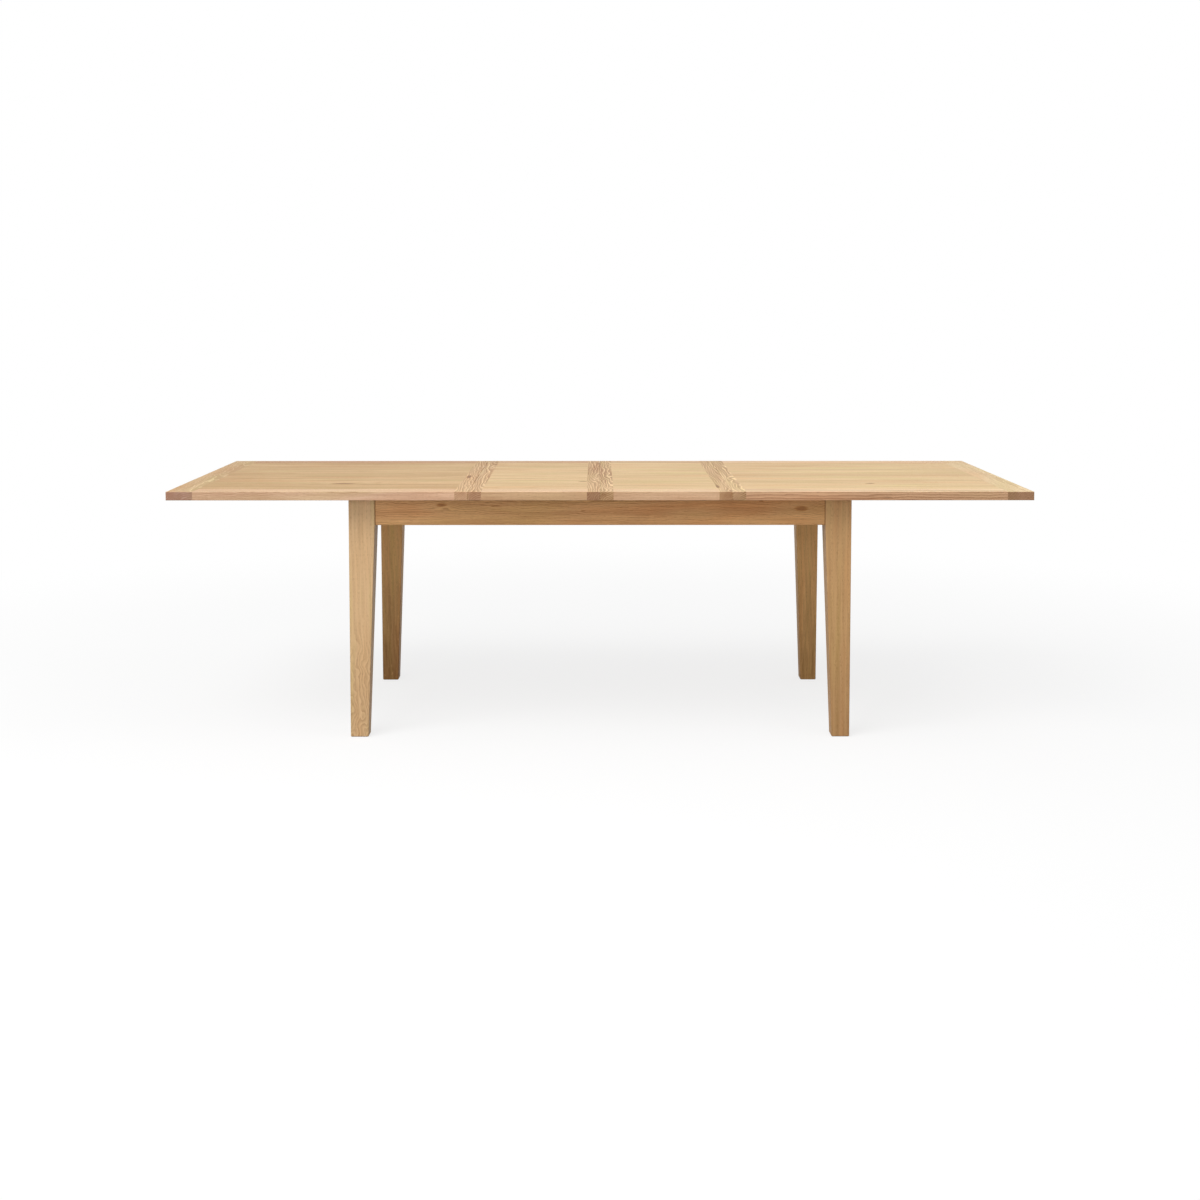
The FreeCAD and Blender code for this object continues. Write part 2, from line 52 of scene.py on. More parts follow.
log = logging.getLogger("extending_table")
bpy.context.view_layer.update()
TOUCHING = 1e-6      # metres between two places that count as one
ALONG = 0.99         # how far a unit normal has to reach along an axis to count as facing it
SMOOTH_BELOW = math.radians(35)

Pair = tuple[float, float]
Triple = tuple[float, float, float]
Colour = Triple
Piece = bpy.types.Object
Material = bpy.types.Material
Socket = bpy.types.NodeSocket
Wires = dict[str, Socket]


def from_screen(*values: int) -> Colour:
    """Turn red, green and blue from a screen's 0 to 255 into the linear values of a shader."""
    shares = (value / 255 for value in values)
    return tuple(share / 12.92 if share <= 0.04045 else ((share + 0.055) / 1.055) ** 2.4
                 for share in shares)


# ---- Node trees ----
class Graph:
    """A node tree under construction, with short ways to add and join its nodes."""

    def __init__(self, tree: bpy.types.NodeTree) -> None:
        """Start on a material's, world's or group's node tree, emptied."""
        self.tree = tree
        tree.nodes.clear()

    def feed(self, socket: Socket, value: object) -> None:
        """Join a socket to another, or set its own value.

        Args:
            socket: The input that is fed.
            value: An output socket, or a number, vector or colour.
        """
        if isinstance(value, Socket):
            self.tree.links.new(value, socket)
        elif socket.type == "RGBA":
            socket.default_value = (*value, 1.0)
        else:
            socket.default_value = value

    def node(self, kind: str, inputs: dict | None = None, **settings: object) -> bpy.types.Node:
        """Add one node.

        Args:
            kind: The node's type, such as ShaderNodeMath.
            inputs: Input values by name or number.
            settings: The node's own settings.

        Returns:
            The new node.
        """
        made = self.tree.nodes.new(kind)
        for name, value in settings.items():
            setattr(made, name, value)
        for key, value in (inputs or {}).items():
            self.feed(made.inputs[key], value)
        return made

    def math(self, operation: str, a: object, b: object = 0.0, c: object = 0.0) -> Socket:
        """A Math node's result."""
        return self.node("ShaderNodeMath", {0: a, 1: b, 2: c}, operation=operation).outputs[0]

    def vector(self, operation: str, a: object, b: object) -> Socket:
        """A Vector Math node's vector result."""
        return self.node("ShaderNodeVectorMath", {0: a, 1: b}, operation=operation).outputs[0]

    def measure(self, operation: str, a: object, b: Triple | Socket = (0.0, 0.0, 0.0)) -> Socket:
        """A Vector Math node's number, such as a vector's length."""
        made = self.node("ShaderNodeVectorMath", {0: a, 1: b}, operation=operation)
        return made.outputs["Value"]

    def parts(self, a: object) -> list[Socket]:
        """A vector's three numbers."""
        return list(self.node("ShaderNodeSeparateXYZ", {0: a}).outputs)

    def joined(self, x: object, y: object, z: object) -> Socket:
        """A vector from three numbers."""
        return self.node("ShaderNodeCombineXYZ", {0: x, 1: y, 2: z}).outputs[0]

    def noise(self, place: object, pace: object, detail: float = 2.0, roughness: float = 0.5,
              output: int | str = 0) -> Socket:
        """A Noise Texture whose places are first multiplied by a pace, in waves a metre."""
        inputs = {"Vector": self.vector("MULTIPLY", place, pace), "Scale": 1.0, "Detail": detail,
                  "Roughness": roughness}
        return self.node("ShaderNodeTexNoise", inputs).outputs[output]

    def spread(self, value: object, low: float, high: float, to_low: float = 0.0,
               to_high: float = 1.0, smooth: bool = False) -> Socket:
        """A Map Range node's result, clamped to its range."""
        kind = "SMOOTHSTEP" if smooth else "LINEAR"
        return self.node("ShaderNodeMapRange", {0: value, 1: low, 2: high, 3: to_low, 4: to_high},
                         interpolation_type=kind).outputs[0]

    def sway(self, noise: object, depth: object) -> Socket:
        """A noise that runs from 0 to 1, centred on 0 and given a depth."""
        return self.math("MULTIPLY", self.math("SUBTRACT", noise, 0.5), depth)

    def mix(self, factor: object, a: object, b: object, blend: str = "MIX") -> Socket:
        """The first colour with a share of the second laid over it."""
        return self.node("ShaderNodeMix", {0: factor, 6: a, 7: b}, data_type="RGBA",
                         blend_type=blend).outputs[2]


class Coat(Graph):
    """A material under construction, with its Principled BSDF and its object's own places."""

    def __init__(self, name: str) -> None:
        """Make the material.

        Args:
            name: Its name.
        """
        self.material = bpy.data.materials.new(name)
        self.material.use_nodes = True
        super().__init__(self.material.node_tree)
        self.shader = self.node("ShaderNodeBsdfPrincipled")
        self.node("ShaderNodeOutputMaterial", {"Surface": self.shader.outputs[0]})
        self.place = self.node("ShaderNodeTexCoord").outputs["Object"]

    def finish(self, relief: object, strength: float, depth: float, **inputs: object) -> Material:
        """Feed the shader.

        Args:
            relief: The surface's height, or None for a smooth finish.
            strength: How strongly the relief shows.
            depth: How deep it is, in metres.
            inputs: What feeds the shader's sockets, with _ for a space in a socket's name.

        Returns:
            The finished material.
        """
        if relief is not None:
            bump = {"Height": relief, "Strength": strength, "Distance": depth}
            inputs["Normal"] = self.node("ShaderNodeBump", bump).outputs[0]
        for name, value in inputs.items():
            self.feed(self.shader.inputs[name.replace("_", " ")], value)
        return self.material


class Kind(Enum):
    """The kinds of socket that the shader groups have."""

    NUMBER = "NodeSocketFloat"
    VECTOR = "NodeSocketVector"
    COLOUR = "NodeSocketColor"


def sockets(numbers: str = "", vectors: str = "", colours: str = "") -> dict[str, Kind]:
    """Give the kind of each of a group's sockets, from their names with spaces between them."""
    return {name: kind for kind, names in zip(Kind, (numbers, vectors, colours))
            for name in names.split()}


class ShaderGroup(Graph):
    """A node group that several materials use, built once, with its inputs' sockets in take."""

    name = "group"
    takes: dict[str, Kind] = {}
    gives: dict[str, Kind] = {}

    def __init__(self) -> None:
        """Find the group's node tree, or build it."""
        if self.name in bpy.data.node_groups:
            self.tree = bpy.data.node_groups[self.name]
            return
        super().__init__(bpy.data.node_groups.new(self.name, "ShaderNodeTree"))
        for in_out, kinds in (("INPUT", self.takes), ("OUTPUT", self.gives)):
            for label, kind in kinds.items():
                self.tree.interface.new_socket(name=label, in_out=in_out, socket_type=kind.value)
        source, target = self.node("NodeGroupInput"), self.node("NodeGroupOutput")
        self.take = SimpleNamespace(**{label: source.outputs[label] for label in self.takes})
        for label, value in self.build().items():
            self.feed(target.inputs[label], value)

    def build(self) -> Wires:
        """Add the group's nodes, and name what feeds each of its outputs."""
        raise NotImplementedError

    def place(self, g: Graph, known: dict[str, object]) -> Wires:
        """Put the group in another graph.

        Args:
            g: The graph that gets the group.
            known: Values and sockets by name, among them one for each of its inputs.

        Returns:
            Its outputs.
        """
        made = g.node("ShaderNodeGroup", node_tree=self.tree)
        for label in self.takes:
            g.feed(made.inputs[label], known[label])
        return {label: made.outputs[label] for label in self.gives}


class StaveGroup(ShaderGroup):
    """Cuts a glued-up panel into staves, each from its own place in a log and with its own tone."""

    name = "oak_staves"
    takes = sockets("stave tone", "place seed")
    gives = sockets("tone", "vector seed pith")
    log_size = (9.0, 5.0, 5.0)
    tone_reach = 0.22
    pith_reach = 0.24
    pith_height = -0.11

    def build(self) -> Wires:
        """Add the group's nodes.

        Returns:
            What feeds its outputs.
        """
        take = self.take
        x, y, z = self.parts(take.place)
        index = self.math("ROUND", self.math("DIVIDE", y, take.stave))
        inner = self.math("SUBTRACT", y, self.math("MULTIPLY", index, take.stave))
        spot = self.vector("ADD", take.seed, self.joined(index, 0.0, 0.0))
        draw = self.node("ShaderNodeTexWhiteNoise", {"Vector": spot}).outputs["Color"]
        _, tone, side = self.parts(draw)
        return {
            "vector": self.joined(x, inner, z),
            "seed": self.vector("ADD", take.seed, self.vector("MULTIPLY", draw, self.log_size)),
            "tone": self.math("ADD", self.sway(tone, self.tone_reach), take.tone),
            "pith": self.joined(0.0, self.sway(side, self.pith_reach), self.pith_height)}


class RingFieldGroup(ShaderGroup):
    """How far each point of a board lies from the tree's heart, with the wood's own waves."""

    name = "oak_ring_field"
    takes = sockets("wander ripple curl_from curl_to curl_depth", "vector seed pith lean pace")
    gives = sockets("field")
    slow_pace = (2.6, 4.0, 4.0)
    curl_pace = (12.0, 22.0, 22.0)

    def build(self) -> Wires:
        """Add the group's nodes.

        Returns:
            What feeds its outputs.
        """
        take = self.take
        place = self.vector("ADD", take.vector, take.seed)
        slow = self.vector("SUBTRACT", self.noise(place, self.slow_pace, 1.0, output="Color"),
                           (0.5, 0.5, 0.5))
        wander = self.vector("MULTIPLY", slow, self.joined(0.0, take.wander, take.wander))
        along = self.parts(take.vector)[0]
        lean = self.vector("MULTIPLY", take.lean, along)
        offset = self.vector("SUBTRACT", self.vector("ADD", take.vector, wander),
                             self.vector("ADD", take.pith, lean))
        radius = self.measure("LENGTH", self.vector("MULTIPLY", offset, (0.0, 1.0, 1.0)))
        ripple = self.sway(self.noise(place, take.pace, 1.5, 0.45), take.ripple)
        grows = self.spread(along, take.curl_from, take.curl_to, 0.0, take.curl_depth)
        curl = self.sway(self.noise(place, self.curl_pace), grows)
        return {"field": self.math("ADD", radius, self.math("ADD", ripple, curl))}


class KnotGroup(ShaderGroup):
    """One knot: it swells the rings round it and has a dark core."""

    name = "oak_knot"
    takes = sockets("field knot swell depth", "place centre size")
    gives = sockets("field knot")
    rough_pace = (120.0, 300.0, 300.0)
    rough_depth = 0.5
    core_range = (0.35, 1.1)
    fade = -0.14

    def build(self) -> Wires:
        """Add the group's nodes.

        Returns:
            What feeds its outputs.
        """
        take = self.take
        away = self.vector("DIVIDE", self.vector("SUBTRACT", take.place, take.centre), take.size)
        rough = self.sway(self.noise(take.place, self.rough_pace), self.rough_depth)
        reach = self.math("ADD", self.measure("LENGTH", away), rough)
        core = self.spread(reach, *self.core_range, take.depth, 0.0, smooth=True)
        far = self.math("MULTIPLY", reach, reach)
        wide = self.math("EXPONENT", self.math("MULTIPLY", far, self.fade))
        return {"field": self.math("MULTIPLY_ADD", wide, take.swell, take.field),
                "knot": self.math("MAXIMUM", take.knot, core)}


class OakGrainGroup(ShaderGroup):
    """Rings, pores, fibres and streaks of oak from the ring field."""

    name = "oak_grain"
    takes = sockets("field ring_width ring_edge streak_pace", "vector seed")
    gives = sockets("ring pores streak fibre fleck patch mark")
    early_end = 0.14
    late_end = 0.95
    vigour_pace = (0.55, 0.0, 0.0)
    vigour_range = (0.25, 0.75, 0.45, 1.0)
    pore_pace = (95.0, 1500.0, 1500.0)
    pore_range = (0.55, 0.68)
    pore_growth = (0.15, 0.8, 0.22, 1.0)
    streak_waves = (2.1, 34.0, 34.0)
    fibre_pace = (9.0, 300.0, 300.0)
    fleck_pace = (42.0, 620.0, 90.0)
    fleck_range = (0.66, 0.78)
    patch_waves = (2.4, 15.0, 15.0)
    mark_pace = (11.0, 110.0, 110.0)
    mark_range = (0.76, 0.84)

    def build(self) -> Wires:
        """Add the group's nodes.

        Returns:
            What feeds its outputs.
        """
        take = self.take
        place = self.vector("ADD", take.vector, take.seed)
        years = self.math("DIVIDE", take.field, take.ring_width)
        part = self.math("FRACT", years)
        early = self.math("MINIMUM", self.spread(part, 0.0, self.early_end),
                          self.spread(part, self.early_end, self.late_end, 1.0, 0.0))
        vigour = self.noise(self.joined(years, 0.0, 0.0), self.vigour_pace, 1.0)
        ring = self.math("MULTIPLY", self.math("POWER", early, take.ring_edge),
                         self.spread(vigour, *self.vigour_range))
        pores = self.spread(self.noise(place, self.pore_pace, 1.0), *self.pore_range)
        pace = take.streak_pace
        paced = self.vector("MULTIPLY", place, self.joined(1.0, pace, pace))
        return {"ring": ring,
                "pores": self.math("MULTIPLY", pores, self.spread(early, *self.pore_growth)),
                "streak": self.noise(paced, self.streak_waves, 3.0, 0.62),
                "fibre": self.noise(place, self.fibre_pace, 2.0, 0.6),
                "fleck": self.spread(self.noise(place, self.fleck_pace, 1.0), *self.fleck_range),
                "patch": self.noise(paced, self.patch_waves),
                "mark": self.spread(self.noise(place, self.mark_pace, 1.0), *self.mark_range)}


class FacingGroup(ShaderGroup):
    """Where a face lies across an axis of the board."""

    name = "facing"
    takes = sockets(vectors="axis")
    gives = sockets("mask")
    face_range = (0.55, 0.9)

    def build(self) -> Wires:
        """Add the group's nodes to its graph, and name what feeds each of its outputs."""
        across = self.measure("DOT_PRODUCT", self.node("ShaderNodeTexCoord").outputs["Normal"],
                              self.take.axis)
        return {"mask": self.spread(self.math("ABSOLUTE", across), *self.face_range, smooth=True)}


class OakColourGroup(ShaderGroup):
    """Lays the grain's parts over each other as one colour, with its gloss and relief, and with a
    thin line of painted shade where a board runs up against its neighbours at both ends."""

    name = "oak_colour"
    takes = sockets("ground ring ring_depth pores pore_depth streak streak_depth fibre fleck patch"
                    " mark knot end_mask side_mask joint_at joint_width tone", "place",
                    "light dark warm end side heart")
    gives = sockets("roughness height", colours="colour")
    olive = (0.94, 0.985, 0.88)
    halo = (0.78, 0.64, 0.48)
    thread_depth = 0.55
    warm_range = (0.5, 0.72)
    olive_range = (0.5, 0.3)
    fleck_share = 0.22
    mark_share = 0.5
    halo_range = (0.0, 0.4)
    core_range = (0.4, 1.0, 0.0, 0.66)
    painted_joint_shade_range = (0.4, 1.0, 0.75, 0.0)
    gloss = 0.50
    pore_gloss = 0.16
    fibre_gloss = 0.08
    fibre_height = 0.25

    def build(self) -> Wires:
        """Add the group's nodes.

        Returns:
            What feeds its outputs.
        """
        take = self.take
        drift = self.sway(take.streak, take.streak_depth)
        thread = self.sway(take.fibre, self.thread_depth)
        dark = self.math("MULTIPLY_ADD", take.ring, take.ring_depth, take.ground)
        dark = self.math("ADD", self.math("ADD", dark, drift), self.math("ADD", thread, take.tone))
        colour = self.mix(dark, take.light, take.dark)
        pore = self.math("MAXIMUM", self.math("MULTIPLY", take.pores, take.pore_depth),
                         self.math("MULTIPLY", take.mark, self.mark_share))
        along = self.math("ABSOLUTE", self.parts(take.place)[0])
        painted_joint_shade = self.math("DIVIDE", self.math("SUBTRACT", take.joint_at, along), take.joint_width)
        for share, laid, *blend in (
                (self.spread(take.patch, *self.warm_range), take.warm, "MULTIPLY"),
                (self.spread(take.patch, *self.olive_range), self.olive, "MULTIPLY"),
                (self.math("MULTIPLY", take.fleck, self.fleck_share), take.light),
                (pore, take.heart),
                (take.side_mask, take.side, "MULTIPLY"),
                (take.end_mask, take.end, "MULTIPLY"),
                (self.spread(take.knot, *self.halo_range), self.halo, "MULTIPLY"),
                (self.spread(take.knot, *self.core_range), take.heart),
                # a thin line of painted shade at the board's ends, where it meets its neighbours
                (self.spread(painted_joint_shade, *self.painted_joint_shade_range, smooth=True), take.heart)):
            colour = self.mix(share, colour, laid, *blend)
        rough = self.math("MULTIPLY_ADD", take.pores, self.pore_gloss, self.gloss)
        fibres = self.math("MULTIPLY", take.fibre, self.fibre_height)
        return {"colour": colour, "height": self.math("SUBTRACT", fibres, take.pores),
                "roughness": self.math("MULTIPLY_ADD", take.fibre, self.fibre_gloss, rough)}


# ---- Finishes ----
class Grain(Enum):
    """Which way a board's grain runs: the turn that lays it along the pattern's X, and its axis."""

    ALONG_X = ((0.0, 0.0, 0.0), (1.0, 0.0, 0.0))
    ALONG_Y = ((0.0, 0.0, -math.pi / 2), (0.0, 1.0, 0.0))
    ALONG_Z = ((0.0, math.pi / 2, 0.0), (0.0, 0.0, 1.0))


@dataclass(frozen=True)
class SawCut:
    """How a board was sawn, in metres: where the tree's heart lies from the board's middle, how it
    leans in a metre, the rings' slow wander and quick ripple, and the ripple's waves in a metre."""

    pith: Triple
    lean: Triple
    wander: float
    ripple: float
    pace: Triple = (15.0, 42.0, 42.0)


class Saw(Enum):
    """The ways that the table's boards were sawn."""

    RIFT = SawCut((0.0, 0.16, -0.11), (0.0, 0.02, 0.01), 0.010, 0.0012)
    WAVY = SawCut((0.0, -0.062, 0.030), (0.0, 0.010, 0.012), 0.016, 0.0056, (24.0, 66.0, 66.0))
    CALM = SawCut((0.0, -0.120, 0.100), (0.0, 0.020, 0.012), 0.018, 0.0075, (20.0, 60.0, 60.0))
    WILD = SawCut((0.0, -0.034, -0.034), (0.0, 0.010, 0.016), 0.030, 0.0180, (8.0, 30.0, 30.0))
    STRAIGHT = SawCut((0.0, 0.090, 0.100), (0.0, 0.010, 0.016), 0.020, 0.0016)


@dataclass(frozen=True)
class Curl:
    """A curly part of a board: it grows from one place along the board to another."""

    curl_from: float = 1.0
    curl_to: float = 2.0
    curl_depth: float = 0.0
    contrast: float = 0.0


@dataclass(frozen=True)
class Knot:
    """A knot or dark streak: its place in the table, its half size along and across the grain,
    how far it pushes the rings away, and how dark it is."""

    at: Triple
    along: float
    across: float
    swell: float = 0.006
    depth: float = 1.0


@dataclass(frozen=True)
class OakTone:
    """A batch of lacquered oak. Its light, dark and heart are in a screen's values from 0 to 255,
    and the other colours are laid over them."""

    light: Colour
    dark: Colour
    warm: Colour = (1.0, 0.92, 0.86)
    end: Colour = (0.66, 0.56, 0.58)
    side: Colour = (1.0, 1.0, 1.0)
    heart: Colour = (104, 64, 26)
    ground: float = 0.22
    ring_width: float = 0.0026
    ring_depth: float = 0.34
    ring_edge: float = 1.0
    pore_depth: float = 0.42
    streak_depth: float = 0.9
    streak_pace: float = 1.0


@dataclass(frozen=True)
class OakBoard:
    """How one oak board looks. Its fields bear the names of the shader groups' inputs. A board
    with no joints at its ends has joint_at, its half length, out of reach; at a joint it gets a
    thin line of painted shade."""

    grain: Grain
    batch: OakTone
    saw: Saw
    tone: float = 0.0
    slope: float = 0.0
    seed: Triple = (0.0, 0.0, 0.0)
    stave: float = 0.0
    knots: tuple[Knot, ...] = ()
    curl: Curl = Curl()
    joint_at: float = 9.0
    joint_width: float = 0.0032
    relief: float = 0.35
    relief_depth: float = 0.00025
    specular: float = 0.3

    def material(self, node: str) -> Material:
        """Build the board's own material.

        Args:
            node: The CAD node that the board is, for its name and its middle.

        Returns:
            The material.
        """
        low, high = (Vector(corner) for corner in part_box(node))
        middle = (low + high) / 2
        turn, axis = self.grain.value
        turned = Matrix.Rotation(turn[2], 3, "Z") @ Matrix.Rotation(turn[1], 3, "Y")
        g = Coat(node + "_oak")
        place = g.node("ShaderNodeMapping", {"Vector": g.place, "Rotation": turn,
                                             "Location": -(turned @ middle)}).outputs[0]
        along = g.parts(place)[0]
        known: dict[str, object] = {
            **vars(self), **vars(self.batch), **vars(self.saw.value), **vars(self.curl),
            "place": place, "vector": place, "knot": 0.0}
        for name in ("light", "dark", "heart"):
            known[name] = from_screen(*getattr(self.batch, name))
        if self.slope:
            known["tone"] = g.math("MULTIPLY_ADD", along, self.slope, self.tone)
        if self.stave:
            known |= StaveGroup().place(g, known)
        known |= RingFieldGroup().place(g, known)
        for knot in self.knots:
            spot = {"centre": turned @ (Vector(knot.at) - middle),
                    "size": (knot.along, knot.across, knot.across)}
            known |= KnotGroup().place(g, {**known, **vars(knot), **spot})
        known |= OakGrainGroup().place(g, known)
        if self.curl.contrast:
            depth = self.batch.ring_depth
            known["ring_depth"] = g.spread(along, self.curl.curl_from, self.curl.curl_to, depth,
                                           depth + self.curl.contrast)
        across = turned.transposed() @ Vector((0.0, 1.0, 0.0))
        for mask, facing in (("end_mask", axis), ("side_mask", across)):
            known[mask] = FacingGroup().place(g, {"axis": facing})["mask"]
        coat = OakColourGroup().place(g, known)
        return g.finish(coat["height"], self.relief, self.relief_depth,
                        Base_Color=coat["colour"], Roughness=coat["roughness"],
                        Specular_IOR_Level=self.specular)


@dataclass(frozen=True)
class Beech:
    """Planed beech, fine and even, with short darker flecks."""

    light: Colour = from_screen(214, 178, 138)
    dark: Colour = from_screen(188, 148, 108)
    fleck: Colour = from_screen(140, 92, 56)
    broad_pace: Triple = (2.0, 40.0, 40.0)
    fleck_pace: Triple = (210.0, 1900.0, 900.0)
    broad_range: Pair = (0.3, 0.7)
    fleck_range: Pair = (0.6, 0.72)
    end_share: float = 0.4
    fleck_share: float = 0.35
    gloss: float = 0.6
    fleck_gloss: float = 0.1
    relief: float = 0.2
    relief_depth: float = 0.0004

    def material(self, grain: Grain) -> Material:
        """Build the material for one direction of the grain.

        Args:
            grain: Which way the grain runs.

        Returns:
            The material.
        """
        g = Coat("beech_" + grain.name.lower())
        turn, axis = grain.value
        turned = g.node("ShaderNodeMapping", {"Vector": g.place, "Rotation": turn}).outputs[0]
        broad = g.noise(turned, self.broad_pace, 3.0)
        fleck = g.spread(g.noise(turned, self.fleck_pace, 1.0), *self.fleck_range)
        colour = g.mix(g.spread(broad, *self.broad_range), self.light, self.dark)
        end = FacingGroup().place(g, {"axis": axis})["mask"]
        colour = g.mix(g.math("MULTIPLY", end, self.end_share), colour, self.dark)
        colour = g.mix(g.math("MULTIPLY", fleck, self.fleck_share), colour, self.fleck)
        return g.finish(broad, self.relief, self.relief_depth, Base_Color=colour,
                        Roughness=g.math("MULTIPLY_ADD", fleck, self.fleck_gloss, self.gloss))


@dataclass(frozen=True)
class Mottle:
    """A finish that is clouded from one colour to another, with a finer grit in its gloss and
    relief: its clouds and grit in a metre, their detail, and how far the second colour goes."""

    name: str
    first: Colour
    second: Colour
    clouds: float
    grit: float
    detail: float
    rough: float
    share: tuple[float, ...] = (0.3, 0.7)
    grit_range: Pair = (0.3, 0.7)
    gloss: tuple[float, ...] = ()
    relief: tuple[float, ...] = ()
    fixed: tuple[tuple[str, float], ...] = ()

    def material(self) -> Material:
        """Build the material.

        Returns:
            The material.
        """
        g = Coat(self.name)
        cloud = g.noise(g.place, (self.clouds,) * 3, self.detail, self.rough)
        grit = g.noise(g.place, (self.grit,) * 3, self.detail, self.rough)
        inputs = dict(self.fixed)
        if self.gloss:
            inputs["Roughness"] = g.spread(grit, *self.grit_range, *self.gloss)
        return g.finish(grit if self.relief else None, *(self.relief or (0.0, 0.0)), **inputs,
                        Base_Color=g.mix(g.spread(cloud, *self.share), self.first, self.second))


ZINC = Mottle("zinc_steel", from_screen(198, 202, 206), from_screen(150, 155, 162), 90.0, 900.0,
              3.0, 0.6, gloss=(0.28, 0.46), relief=(0.15, 0.0001), fixed=(("Metallic", 1.0),))
NYLON = Mottle("nylon", from_screen(226, 225, 218), from_screen(190, 188, 180), 400.0, 400.0,
               2.0, 0.5, share=(0.0, 1.0, 0.0, 0.2), gloss=(0.35, 0.5))
FELT = Mottle("felt", from_screen(92, 76, 60), from_screen(138, 118, 96), 1500.0, 1500.0,
              4.0, 0.7, relief=(0.7, 0.0006), fixed=(("Roughness", 0.95), ("Sheen_Weight", 0.3)))


# ---- Batches of oak ----
PANEL_OAK = OakTone((232, 200, 151), (184, 145, 95), ring_depth=0.30, pore_depth=0.32,
                    streak_depth=1.6)
RAIL_OAK = OakTone((253, 220, 178), (188, 144, 104), ground=0.16, ring_width=0.0028,
                   ring_depth=0.70, streak_depth=1.1)
CURLY_RAIL_OAK = replace(RAIL_OAK, ring_width=0.0072, ring_depth=0.95, streak_depth=1.6)
END_OAK = OakTone((250, 222, 176), (186, 148, 100), ring_width=0.0060, ring_depth=-0.9,
                  ring_edge=5.0, ground=0.55)
SEAM_OAK = OakTone((255, 223, 172), (162, 114, 68), (1.0, 0.95, 0.90), ring_width=0.0054,
                   ring_edge=2.2, ground=0.75)
APRON_OAK = OakTone((226, 175, 117), (160, 108, 62), (1.0, 0.84, 0.72), ring_width=0.0032,
                    ring_depth=0.62, streak_depth=1.1)
PALE_LEG_OAK = OakTone((230, 195, 149), (176, 136, 94), (1.0, 0.97, 0.92), ring_width=0.0075,
                       ring_depth=0.12, streak_depth=0.6, streak_pace=3.0)
TAN_LEG_OAK = OakTone((206, 163, 112), (148, 104, 62), ring_width=0.0110, ring_depth=0.05,
                      streak_depth=0.8, streak_pace=2.6, pore_depth=0.5)
# The back legs' oak: its dark colour, together with their slopes, is partly painted shade, for the
# shade under the top.
DEEP_LEG_OAK = OakTone((236, 184, 120), (140, 97, 50), ring_width=0.0090, ring_depth=0.07,
                       streak_depth=0.7, streak_pace=2.8)


def dress(node: str, material: Material) -> None:
    """Give a CAD node a material in all its slots.

    Args:
        node: The node's name.
        material: The material it gets.
    """
    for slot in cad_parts[node].material_slots:
        slot.material = material
    log.info("dressed %s with %s", node, material.name)


# ---- The top ----
@dataclass
class TopSection:
    """One section of the top: a panel in a frame of four rails. A shade is how much darker a part
    is than its batch of oak, a slope how much darker it grows in a metre along its grain, and a
    figure how strongly the rings of a seam's rail show. The shades and slopes are partly the
    boards' own tone and partly painted shade, as the top grows darker towards its left end and
    its back, where less light falls; the back rails' shades are painted shade."""

    name: str
    rails: tuple[str, str]
    seed: float
    front: Colour
    ends: tuple[Colour, Colour]
    shade: float = 0.0
    front_shade: float = 0.0
    front_oak: OakTone = RAIL_OAK
    back_painted_shade: float = 0.0
    slope: float = 0.0
    seam_shade: float = 0.0
    seam_slope: float = 0.12
    figures: Pair = (-0.9, -0.9)
    stave: float = 0.108
    seed_steps: Triple = (1.7, 0.9, -0.6)
    knots: dict[str, tuple[Knot, ...]] = field(default_factory=dict)

    def build(self) -> None:
        """Dress the section's boards, each with a seed of its own."""
        front = replace(self.front_oak, side=self.front)
        back = replace(RAIL_OAK, side=self.front)
        # The panel's and rails' shades and slope are partly painted shade, darker towards the left
        # end; the back rail's shade is painted shade along the back of the top.
        boards = {
            "_panel": OakBoard(Grain.ALONG_X, PANEL_OAK, Saw.RIFT, self.shade, self.slope,
                               stave=self.stave),
            "_front_rail": OakBoard(Grain.ALONG_X, front, Saw.WAVY, self.front_shade, self.slope),
            "_back_rail": OakBoard(Grain.ALONG_X, back, Saw.WAVY, self.back_painted_shade, self.slope)}
        for rail, end, figure in zip(self.rails, self.ends, self.figures):
            if rail == "_end_rail":
                batch, shade, slope = replace(END_OAK, end=end), self.shade, 0.0
            else:
                batch = replace(SEAM_OAK, end=end, ring_depth=figure)
                # The seam rails' slope is painted shade: they grow darker towards the back of the
                # top.
                shade, slope = self.seam_shade, self.seam_slope
            boards[rail] = OakBoard(Grain.ALONG_Y, batch, Saw.WILD, shade, slope)
        for step, (part, board) in enumerate(boards.items()):
            node = self.name + part
            seed = tuple(start + stride * step for start, stride in
                         zip((self.seed, 0.0, self.seed), self.seed_steps))
            board = replace(board, seed=seed, knots=self.knots.get(part, ()))
            dress(node, board.material(node))


